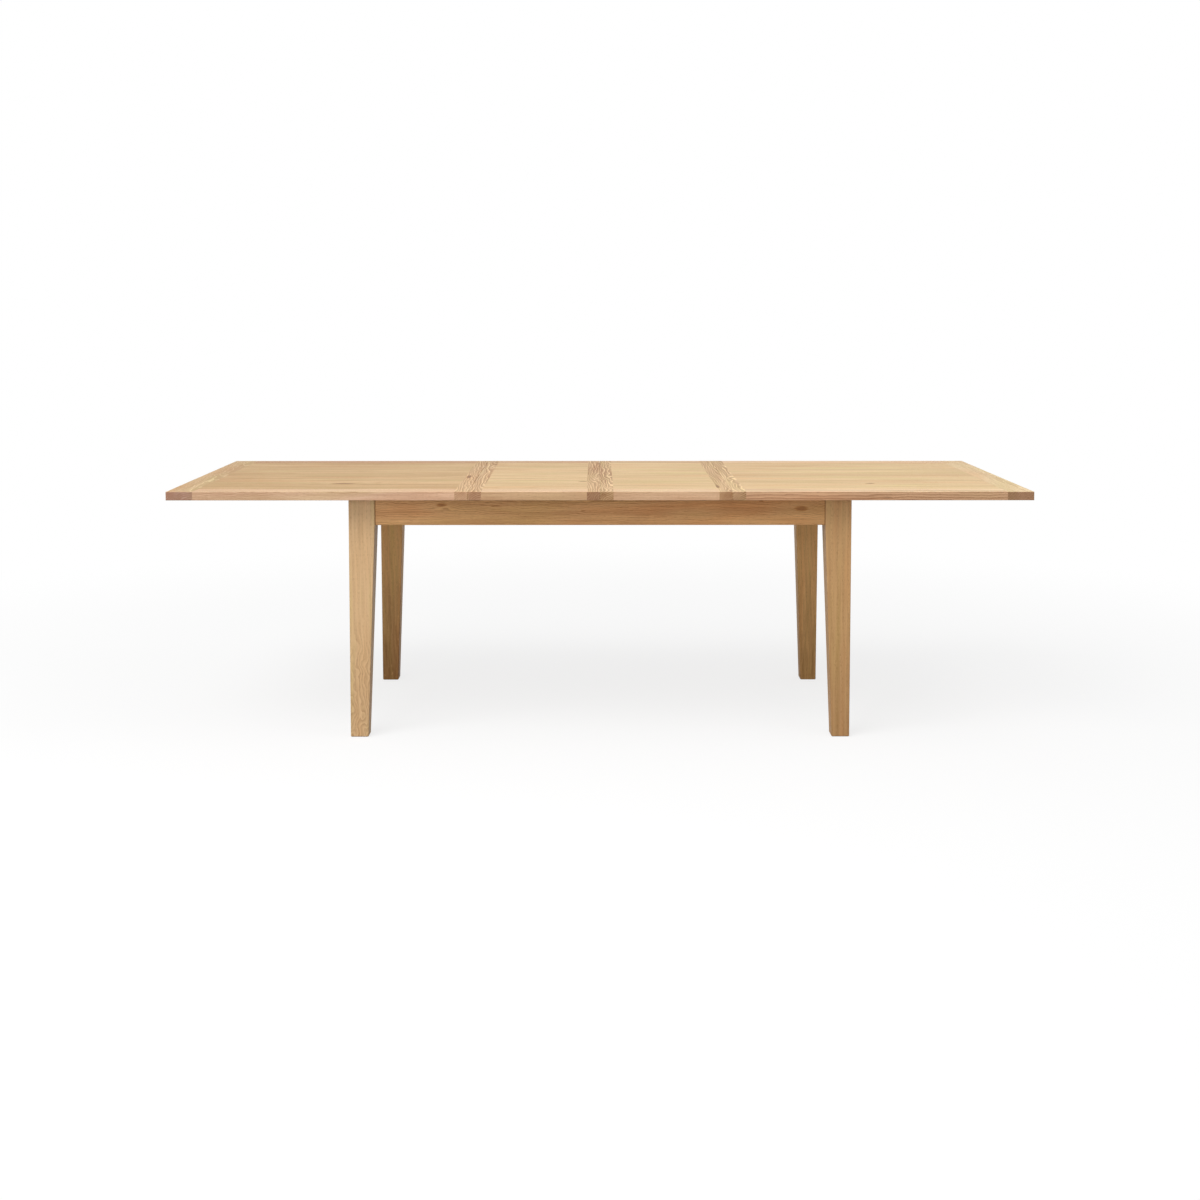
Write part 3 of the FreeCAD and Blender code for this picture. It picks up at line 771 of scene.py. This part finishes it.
# ---- The leg frame ----
@dataclass
class LegFrame:
    """Legs, aprons and what lies between them."""

    legs: tuple[str, ...] = ("front_left", "front_right", "back_left", "back_right")
    leg_tones: tuple[OakTone, ...] = (PALE_LEG_OAK, TAN_LEG_OAK, DEEP_LEG_OAK, DEEP_LEG_OAK)
    # The legs' shades and slopes are partly painted shade: the back legs are darker, for the shade
    # under the top, and the legs grow darker towards their feet, where less light reaches.
    leg_shades: tuple[float, ...] = (0.20, 0.05, 0.07, -0.04)
    leg_painted_shade_slopes: tuple[float, ...] = (-0.1, -0.6, -1.7, -1.2)
    foot_curl: Curl = Curl(0.0, -0.17, 0.065, 0.38)
    leg_knots: tuple[Knot, ...] = (Knot((0.698, -0.422, 0.449), 0.006, 0.0025, 0.003),)
    apron_knots: tuple[Knot, ...] = (
        Knot((0.617, -0.417, 0.711), 0.024, 0.0100, 0.007, 0.72),
        Knot((-0.487, -0.417, 0.722), 0.019, 0.0065, 0.007, 0.70),
        Knot((-0.320, -0.417, 0.719), 0.022, 0.0019, 0.0),
        Knot((-0.052, -0.417, 0.704), 0.009, 0.0014, 0.0),
        Knot((0.494, -0.417, 0.734), 0.010, 0.0016, 0.0),
        Knot((0.020, -0.417, 0.738), 0.030, 0.0020, 0.002))
    half_length: float = 0.691
    half_width: float = 0.342

    def build(self) -> None:
        """Dress the frame."""
        knots = {"leg_front_right": self.leg_knots, "front_apron": self.apron_knots}
        # Each leg's shade and slope are partly painted shade, as above.
        boards = {
            f"leg_{leg}": OakBoard(Grain.ALONG_Z, self.leg_tones[step], Saw.STRAIGHT,
                                   self.leg_shades[step], self.leg_painted_shade_slopes[step],
                                   (3.1 * step, 1.0, 2.0),
                                   curl=self.foot_curl if leg == "front_left" else Curl())
            for step, leg in enumerate(self.legs)}
        # The aprons get a thin line of painted shade at their ends, where they meet the legs.
        long_apron = OakBoard(Grain.ALONG_X, APRON_OAK, Saw.CALM, joint_at=self.half_length)
        end_apron = OakBoard(Grain.ALONG_Y, APRON_OAK, Saw.RIFT, joint_at=self.half_width)
        for step, (side, end) in enumerate((("front", "left"), ("back", "right"))):
            boards[side + "_apron"] = replace(long_apron, seed=(5.0 + step, 4.0, 1.0))
            boards[end + "_end_apron"] = replace(end_apron, seed=(8.0 + step, 3.0, 1.0))
        for node, board in boards.items():
            dress(node, replace(board, knots=knots.get(node, ())).material(node))
        blocks = tuple("corner_block_" + leg for leg in self.legs)
        for endings, material in (
                (("_guide_rail", "_runner", *blocks), Beech().material(Grain.ALONG_X)),
                (("_slat",), Beech().material(Grain.ALONG_Y)),
                (("_screws", "_plates", "_hook"), ZINC.material())):
            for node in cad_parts:
                if node.endswith(endings):
                    dress(node, material)


# ---- Shaping by hand ----
class Part(Enum):
    """What a test picks in a mesh."""

    FACES = "FACE"
    EDGES = "EDGE"


class Blank:
    """A primitive that is open in edit mode while it is shaped."""

    def __init__(self) -> None:
        """Open the primitive that was just added."""
        self.piece = bpy.context.active_object
        bpy.ops.object.transform_apply(location=True, rotation=True, scale=True)
        bpy.ops.object.mode_set(mode="EDIT")
        bpy.ops.mesh.select_all(action="DESELECT")

    @classmethod
    def drum(cls, place: Triple, radius: float, height: float, sides: int,
             turn: Triple = (0.0, 0.0, 0.0)) -> "Blank":
        """Start from a cylinder.

        Args:
            place: The cylinder's middle.
            radius: Its radius.
            height: Its height.
            sides: Its number of sides.
            turn: How it is turned from upright.

        Returns:
            The open blank.
        """
        bpy.ops.object.select_all(action="DESELECT")
        bpy.ops.mesh.primitive_cylinder_add(vertices=sides, radius=radius, depth=height,
                                            location=place, rotation=turn)
        return cls()

    @classmethod
    def turned(cls, profile: list[Pair], sides: int) -> Piece:
        """Turn a piece round the X axis: a plane is drawn in to the profile's first point, drawn
        out again point by point, and spun once round.

        Args:
            profile: Places along X, each with its distance from X.
            sides: The number of sides.

        Returns:
            The finished piece.
        """
        points = [Vector((x, 0.0, away)) for x, away in profile]
        bpy.ops.object.select_all(action="DESELECT")
        bpy.ops.mesh.primitive_plane_add(size=0.001, location=points[0])
        blank = cls()
        bpy.ops.mesh.select_mode(type="VERT")
        bpy.ops.mesh.select_all(action="SELECT")
        bpy.ops.mesh.merge(type="CENTER")
        for start, end in zip(points, points[1:]):
            bpy.ops.mesh.extrude_region_move(TRANSFORM_OT_translate={"value": end - start})
        bpy.ops.mesh.select_all(action="SELECT")
        bpy.ops.mesh.spin(steps=sides, angle=2 * math.pi, center=(0.0, 0.0, 0.0),
                          axis=(1.0, 0.0, 0.0))
        bpy.ops.mesh.select_all(action="SELECT")
        bpy.ops.mesh.remove_doubles(threshold=TOUCHING)
        return blank.close()

    def pick(self, part: Part, test: Callable[[Vector, Vector], bool]) -> None:
        """Select the faces or edges that pass a test, and nothing else.

        Args:
            part: Whether faces or edges are tested.
            test: Takes a face's middle and normal, or the places of an edge's two ends.
        """
        bpy.ops.mesh.select_mode(type=part.value)
        mesh = bmesh.from_edit_mesh(self.piece.data)
        if part is Part.FACES:
            for face in mesh.faces:
                face.select_set(test(face.calc_center_median(), face.normal))
        else:
            for edge in mesh.edges:
                edge.select_set(test(*(vert.co for vert in edge.verts)))
        mesh.select_flush_mode()
        bmesh.update_edit_mesh(self.piece.data)

    def ease_rim(self, height: float, width: float) -> None:
        """Round the edges that lie at one height, by a width."""
        self.pick(Part.EDGES, lambda a, b: max(abs(a.z - height), abs(b.z - height)) < TOUCHING)
        bpy.ops.mesh.bevel(offset=width, segments=3, profile=0.5, affect="EDGES")

    def close(self) -> Piece:
        """Leave edit mode with every normal outward and gentle edges shaded smooth.

        Returns:
            The finished piece.
        """
        bpy.ops.mesh.select_all(action="SELECT")
        bpy.ops.mesh.normals_make_consistent(inside=False)
        bpy.ops.object.mode_set(mode="OBJECT")
        bpy.ops.object.shade_smooth_by_angle(angle=SMOOTH_BELOW)
        self.piece.select_set(False)
        return self.piece


def copied(piece: Piece, turn: Matrix) -> Piece:
    """Copy a piece with its own mesh, moved inside the mesh.

    Args:
        piece: The piece that is copied.
        turn: How the copy's mesh is turned and moved.

    Returns:
        The copy.
    """
    copy = piece.copy()
    copy.data = piece.data.copy()
    copy.data.transform(turn)
    bpy.context.scene.collection.objects.link(copy)
    return copy


def joined(pieces: list[Piece], name: str) -> Piece:
    """Join pieces into one object.

    Args:
        pieces: The pieces.
        name: The joined piece's name.

    Returns:
        The joined piece.
    """
    bpy.ops.object.select_all(action="DESELECT")
    for piece in pieces:
        piece.select_set(True)
    bpy.context.view_layer.objects.active = pieces[0]
    bpy.ops.object.join()
    whole = bpy.context.view_layer.objects.active
    whole.name = name
    whole.select_set(False)
    return whole


def repeated(piece: Piece, moves: list[Triple], name: str) -> Piece:
    """Join a piece and its moved copies, under a new name."""
    return joined([piece] + [copied(piece, Matrix.Translation(move)) for move in moves], name)


def finish_piece(piece: Piece, body: str, material: Material, node: str) -> None:
    """Dress a piece, set it on its body, and let it stand for its CAD node.

    Args:
        piece: The finished piece.
        body: The body it rides on.
        material: Its material.
        node: The CAD node that it replaces.
    """
    piece.data.materials.clear()
    piece.data.materials.append(material)
    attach(piece, body)
    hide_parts(node)
    log.info("modelled %s on %s", piece.name, body)


# ---- Small pieces ----
@dataclass(frozen=True)
class Pads:
    """Alike discs at places in all four quarters of the table: each has the rim of one face
    rounded, and that face inset in steps of a width and a depth."""

    name: str
    node: str
    slot: str
    finish: Mottle
    places: tuple[Pair, ...]
    radius: float
    bottom: float
    thickness: float
    facing: int
    rim: float
    insets: tuple[Pair, ...]
    sides: int

    def build(self) -> None:
        """Model one pad and copy it to all its places."""
        x, y = self.places[0]
        half = self.thickness / 2
        blank = Blank.drum((-x, -y, self.bottom + half), self.radius, self.thickness, self.sides)
        blank.ease_rim(self.bottom + half + self.facing * half, self.rim)
        blank.pick(Part.FACES, lambda middle, normal: normal.z * self.facing > ALONG)
        for width, depth in self.insets:
            bpy.ops.mesh.inset(thickness=width, depth=depth)
        moves = [(side_x * place_x + x, side_y * place_y + y, 0)
                 for place_x, place_y in self.places for side_x in (-1, 1) for side_y in (-1, 1)]
        finish_piece(repeated(blank.close(), moves[1:], self.name), "root",
                     self.finish.material(), self.node)


FOOT_PADS = Pads("felt_foot_pads", "foot_pads", "felt_pad", FELT, ((0.7435, 0.3945),), 0.020,
                 0.0, 0.003, -1, 0.0009, ((0.010, 0.0),), 72)
SLIDE_PADS = Pads("nylon_slide_pads", "slide_pads", "nylon_pad", NYLON,
                  ((0.731, 0.382), (0.755, 0.180), (0.150, 0.406), (0.450, 0.406)), 0.008,
                  0.7445, 0.0014, 1, 0.00056, ((0.00496, 0.0), (0.00048, -0.00021)), 48)


@dataclass
class LeafPegs:
    """Fluted dowels with chamfered ends under a leaf."""

    leaf: str
    radius: float = 0.004
    sides: int = 48
    flute: float = 0.93
    chamfer: float = 0.001
    core: float = 0.86

    def build(self) -> None:
        """Model one peg where the leaf's first peg is, and copy it to the others. Every fourth
        edge is drawn in to a flute, and what lies outside the core is chamfered."""
        low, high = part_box(self.leaf + "_pegs")
        x, y = low.x + self.radius, low.y + self.radius
        blank = Blank.drum((x, y, (low.z + high.z) / 2), self.radius, high.z - low.z, self.sides)
        step = 2 * math.pi / self.sides
        blank.pick(Part.EDGES, lambda a, b: abs(a.z - b.z) > TOUCHING
                   and round(math.atan2(a.y - y, a.x - x) / step) % 4 == 0)
        bpy.ops.transform.resize(value=(self.flute, self.flute, 1.0), center_override=(x, y, 0.0))
        for height, inward in ((low.z, self.chamfer), (high.z, -self.chamfer)):
            blank.pick(Part.FACES, lambda middle, normal: abs(middle.z - height) < TOUCHING)
            bpy.ops.mesh.inset(thickness=self.chamfer, depth=0.0)
            blank.pick(Part.EDGES, lambda a, b: all(
                abs(end.z - height) < TOUCHING
                and math.hypot(end.x - x, end.y - y) > self.radius * self.core
                for end in (a, b)))
            bpy.ops.transform.translate(value=(0, 0, inward))
        far_x, far_y = high.x - x - self.radius, high.y - y - self.radius
        moves = [(far_x, 0, 0), (0, far_y, 0), (far_x, far_y, 0)]
        finish_piece(repeated(blank.close(), moves, self.leaf + "_dowels"), self.leaf,
                     Beech().material(Grain.ALONG_Z), self.leaf + "_pegs")


@dataclass
class CornerBolts:
    """Hanger bolts with their washers and nuts, through the corner blocks into the legs."""

    bolt_radius: float = 0.004
    pitch: float = 0.00125
    thread_depth: float = 0.0007
    thread_end: float = 0.040
    bolt_end: float = 0.045
    stickout: float = 0.005
    nut_across: float = 0.013
    nut_height: float = 0.0065
    nut_chamfer: float = 0.0010
    nut_chamfer_rise: float = 0.00055
    nut_core: float = 0.97
    bore_gap: float = 0.0003
    bore_lip: float = 0.0004
    bore_depth: float = 0.0006
    washer_radius: float = 0.010
    washer_thickness: float = 0.0016
    washer_ease: float = 0.00032
    washer_fit: float = 0.00025
    block_thickness: float = 0.028
    seat: Pair = (0.698, 0.349)
    heights: Pair = (0.674, 0.697)

    def build(self) -> None:
        """Model one bolt, washer and nut along +X, and copy them to the four corners."""
        first = joined([self.bolt(), self.washer(), self.nut()], "hanger_bolt")
        bolts = []
        for side_x, side_y in ((-1, -1), (1, -1), (-1, 1), (1, 1)):
            turn = Matrix.Rotation(math.atan2(side_y, side_x), 4, "Z")
            for height in self.heights:
                place = Matrix.Translation((side_x * self.seat[0], side_y * self.seat[1], height))
                bolts.append(copied(first, place @ turn))
        bpy.data.objects.remove(first)
        finish_piece(joined(bolts, "corner_bolts"), "root", ZINC.material(),
                     "leg_bolts")

    def bolt(self) -> Piece:
        """Model the threaded bolt.

        Returns:
            The bolt.
        """
        end = -(self.block_thickness + self.washer_thickness + self.nut_height + self.stickout)
        root = self.bolt_radius - self.thread_depth
        profile = [(end, 0.0), (end, root - self.thread_depth)]
        x = end + self.pitch / 2
        while x < self.thread_end:
            profile += [(x, root), (x + self.pitch / 2, self.bolt_radius)]
            x += self.pitch
        return Blank.turned(profile + [(self.bolt_end, root), (self.bolt_end, 0.0)], 24)

    def washer(self) -> Piece:
        """Model the washer, with its edges eased.

        Returns:
            The washer.
        """
        outer = -self.block_thickness
        inner = outer - self.washer_thickness
        ease, bore = self.washer_ease, self.bolt_radius + self.washer_fit
        return Blank.turned([
            (outer, bore), (inner, bore), (inner, self.washer_radius - ease),
            (inner + ease, self.washer_radius), (outer, self.washer_radius), (outer, bore)], 48)

    def nut(self) -> Piece:
        """Model the hexagon nut, with its corners taken off towards its face.

        Returns:
            The nut.
        """
        start = -(self.block_thickness + self.washer_thickness + self.nut_height)
        corner = self.nut_across / math.sqrt(3)
        blank = Blank.drum((start + self.nut_height / 2, 0, 0), corner, self.nut_height, 6,
                           (0, math.pi / 2, 0))
        blank.pick(Part.FACES, lambda middle, normal: normal.x < -ALONG)
        bpy.ops.mesh.inset(thickness=self.nut_chamfer, depth=0.0)
        blank.pick(Part.EDGES, lambda a, b: all(
            abs(end.x - start) < TOUCHING and math.hypot(end.y, end.z) > corner * self.nut_core
            for end in (a, b)))
        bpy.ops.transform.translate(value=(self.nut_chamfer_rise, 0, 0))
        blank.pick(Part.FACES, lambda middle, normal: normal.x < -ALONG)
        bore = self.bolt_radius + self.bore_gap
        bpy.ops.mesh.inset(thickness=self.nut_across / 2 - self.nut_chamfer - bore, depth=0.0)
        bpy.ops.mesh.inset(thickness=self.bore_lip, depth=-self.bore_depth)
        return blank.close()


# ---- Studio ----
@dataclass
class Studio:
    """A plain white studio with soft light from the front left."""

    floor_size: float = 60.0
    floor_grey: float = 0.24
    floor_white: float = 0.95
    sky: float = 0.42
    shadow_share: float = 0.22
    shadow_from: float = 1.2
    shadow_reach: float = 4.0
    lamps: tuple[tuple[str, Triple, Triple, float, float], ...] = (
        ("key", (-3.2, -4.0, 5.6), (0.0, -0.2, 0.6), 4.6, 330.0),
        ("overhead", (1.6, -0.9, 3.4), (0.3, -0.1, 0.77), 1.8, 20.0),
        ("front_fill", (-1.2, -5.2, 1.2), (-0.2, 0.0, 0.6), 2.2, 78.0))

    def build(self) -> None:
        """Make the floor, the world and the lamps."""
        self.floor()
        self.world()
        for lamp in self.lamps:
            self.lamp(*lamp)

    def seen(self, g: Graph) -> Socket:
        """A mask of 1 for the camera, in reflections and through glass, and of 0 for the light."""
        rays = [g.node("ShaderNodeLightPath").outputs[f"Is {kind} Ray"]
                for kind in ("Camera", "Glossy", "Transmission")]
        return g.math("MAXIMUM", g.math("MAXIMUM", *rays[:2]), rays[2])

    def floor(self) -> None:
        """Lay a floor that looks white, takes a faint shadow and can be seen through from below."""
        bpy.ops.object.select_all(action="DESELECT")
        bpy.ops.mesh.primitive_plane_add(size=self.floor_size, location=(0, 0, 0))
        plane = bpy.context.active_object
        plane.name = "studio_floor"
        material = bpy.data.materials.new("studio_floor")
        material.use_nodes = True
        g = Graph(material.node_tree)
        seen = self.seen(g)
        place = g.node("ShaderNodeTexCoord").outputs["Object"]
        away = g.measure("LENGTH", g.vector("MULTIPLY", place, (1.0, 1.0, 0.0)))
        kept = g.spread(away, self.shadow_from, self.shadow_reach, self.shadow_share, 0.0,
                        smooth=True)
        grey = g.math("MULTIPLY_ADD", seen, self.floor_white - self.floor_grey, self.floor_grey)
        matte = g.node("ShaderNodeBsdfDiffuse", {"Color": grey})
        white = g.node("ShaderNodeEmission", {"Color": (1.0, 1.0, 1.0), "Strength": 1.0})
        share = g.math("MULTIPLY", seen, g.math("SUBTRACT", 1.0, kept))
        both = g.node("ShaderNodeMixShader", {0: share, 1: matte.outputs[0], 2: white.outputs[0]})
        below = g.node("ShaderNodeNewGeometry").outputs["Backfacing"]
        clear = g.node("ShaderNodeBsdfTransparent")
        one_sided = g.node("ShaderNodeMixShader",
                           {0: below, 1: both.outputs[0], 2: clear.outputs[0]})
        g.node("ShaderNodeOutputMaterial", {"Surface": one_sided.outputs[0]})
        plane.data.materials.append(material)

    def world(self) -> None:
        """Make a world that looks white and lights the table softly."""
        world = bpy.data.worlds.new("studio")
        bpy.context.scene.world = world
        world.use_nodes = True
        g = Graph(world.node_tree)
        strength = g.math("MULTIPLY_ADD", self.seen(g), 1.0 - self.sky, self.sky)
        back = g.node("ShaderNodeBackground", {"Color": (1.0, 1.0, 1.0), "Strength": strength})
        g.node("ShaderNodeOutputWorld", {"Surface": back.outputs[0]})

    def lamp(self, name: str, place: Triple, target: Triple, size: float, power: float) -> None:
        """Hang one square soft lamp.

        Args:
            name: The lamp's name.
            place: Where it hangs.
            target: What it points at.
            size: Its side, in metres.
            power: Its power, in watts.
        """
        data = bpy.data.lights.new(name, "AREA")
        data.shape = "SQUARE"
        data.size = size
        data.energy = power
        lamp = bpy.data.objects.new(name, data)
        lamp.location = place
        lamp.rotation_euler = (Vector(target) - Vector(place)).to_track_quat("-Z", "Y").to_euler()
        bpy.context.scene.collection.objects.link(lamp)


@dataclass
class StudioCamera:
    """The camera: where it stands, how it is turned (radians) and its lens."""

    place: Triple = (-0.0167, -5.5114, 1.3346)
    yaw: float = 0.00316
    pitch: float = 0.07179
    roll: float = 0.00009
    lens: float = 50.145
    shift_y: float = -0.14591
    sensor: float = 36.0

    def build(self) -> None:
        """Make the camera and set it as the scene's own."""
        data = bpy.data.cameras.new("camera")
        data.sensor_width = self.sensor
        data.lens = self.lens
        data.shift_y = self.shift_y
        camera = bpy.data.objects.new("camera", data)
        bpy.context.scene.collection.objects.link(camera)
        turn = (Matrix.Rotation(-self.yaw, 4, "Z")
                @ Matrix.Rotation(math.pi / 2 - self.pitch, 4, "X")
                @ Matrix.Rotation(self.roll, 4, "Z"))
        camera.matrix_world = Matrix.Translation(self.place) @ turn
        bpy.context.scene.camera = camera


def main() -> None:
    """Build the studio and dress the table."""
    logging.basicConfig(level=logging.INFO, format="%(name)s: %(message)s")
    bpy.ops.object.select_all(action="DESELECT")
    StudioCamera().build()
    Studio().build()
    # The sections' shades step from dark at the left end to light at the right, partly as painted
    # shade, and their back rails' shades are painted shade.
    TopSection("left_top", ("_end_rail", "_seam_rail"), 1.3, (0.82, 0.78, 0.86),
               ((0.625, 0.535, 0.74), (0.70, 0.61, 0.65)), shade=0.38, front_shade=0.17,
               back_painted_shade=0.75, slope=-0.25, seam_shade=0.04, seam_slope=0.20,
               figures=(-0.9, -0.85),
               knots={"_seam_rail": (Knot((-0.429, -0.055, 0.772), 0.055, 0.0100, 0.006),),
                      "_panel": (Knot((-0.807, -0.265, 0.772), 0.048, 0.0150, 0.010),)}).build()
    TopSection("left_leaf", ("_left_rail", "_right_rail"), 7.9, (0.665, 0.60, 0.54),
               ((0.60, 0.51, 0.54), (0.515, 0.425, 0.43)), shade=0.06, back_painted_shade=0.45,
               seam_shade=0.12,
               knots={"_panel": (Knot((-0.054, -0.206, 0.772), 0.018, 0.0120, 0.008),)}).build()
    TopSection("right_leaf", ("_left_rail", "_right_rail"), 12.1, (0.74, 0.67, 0.66),
               ((0.615, 0.555, 0.51), (0.60, 0.50, 0.465)), shade=-0.05, back_painted_shade=0.25,
               seam_shade=0.17, figures=(-1.20, -1.60),
               knots={"_right_rail": (Knot((0.364, -0.350, 0.772), 0.050, 0.0090, 0.006),)}
               ).build()
    TopSection("right_top", ("_seam_rail", "_end_rail"), 21.6, (0.655, 0.55, 0.51),
               ((0.585, 0.495, 0.485), (0.47, 0.35, 0.34)), shade=-0.06, front_shade=-0.02,
               front_oak=CURLY_RAIL_OAK, seam_shade=0.07, figures=(-1.35, -0.9),
               knots={"_panel": (Knot((0.853, -0.265, 0.772), 0.018, 0.0120, 0.008),)}).build()
    for part in (LegFrame(), FOOT_PADS, SLIDE_PADS, LeafPegs("left_leaf"),
                 LeafPegs("right_leaf"), CornerBolts()):
        part.build()
    bpy.context.scene.view_settings.view_transform = "Standard"


if __name__ == "__main__":
    main()
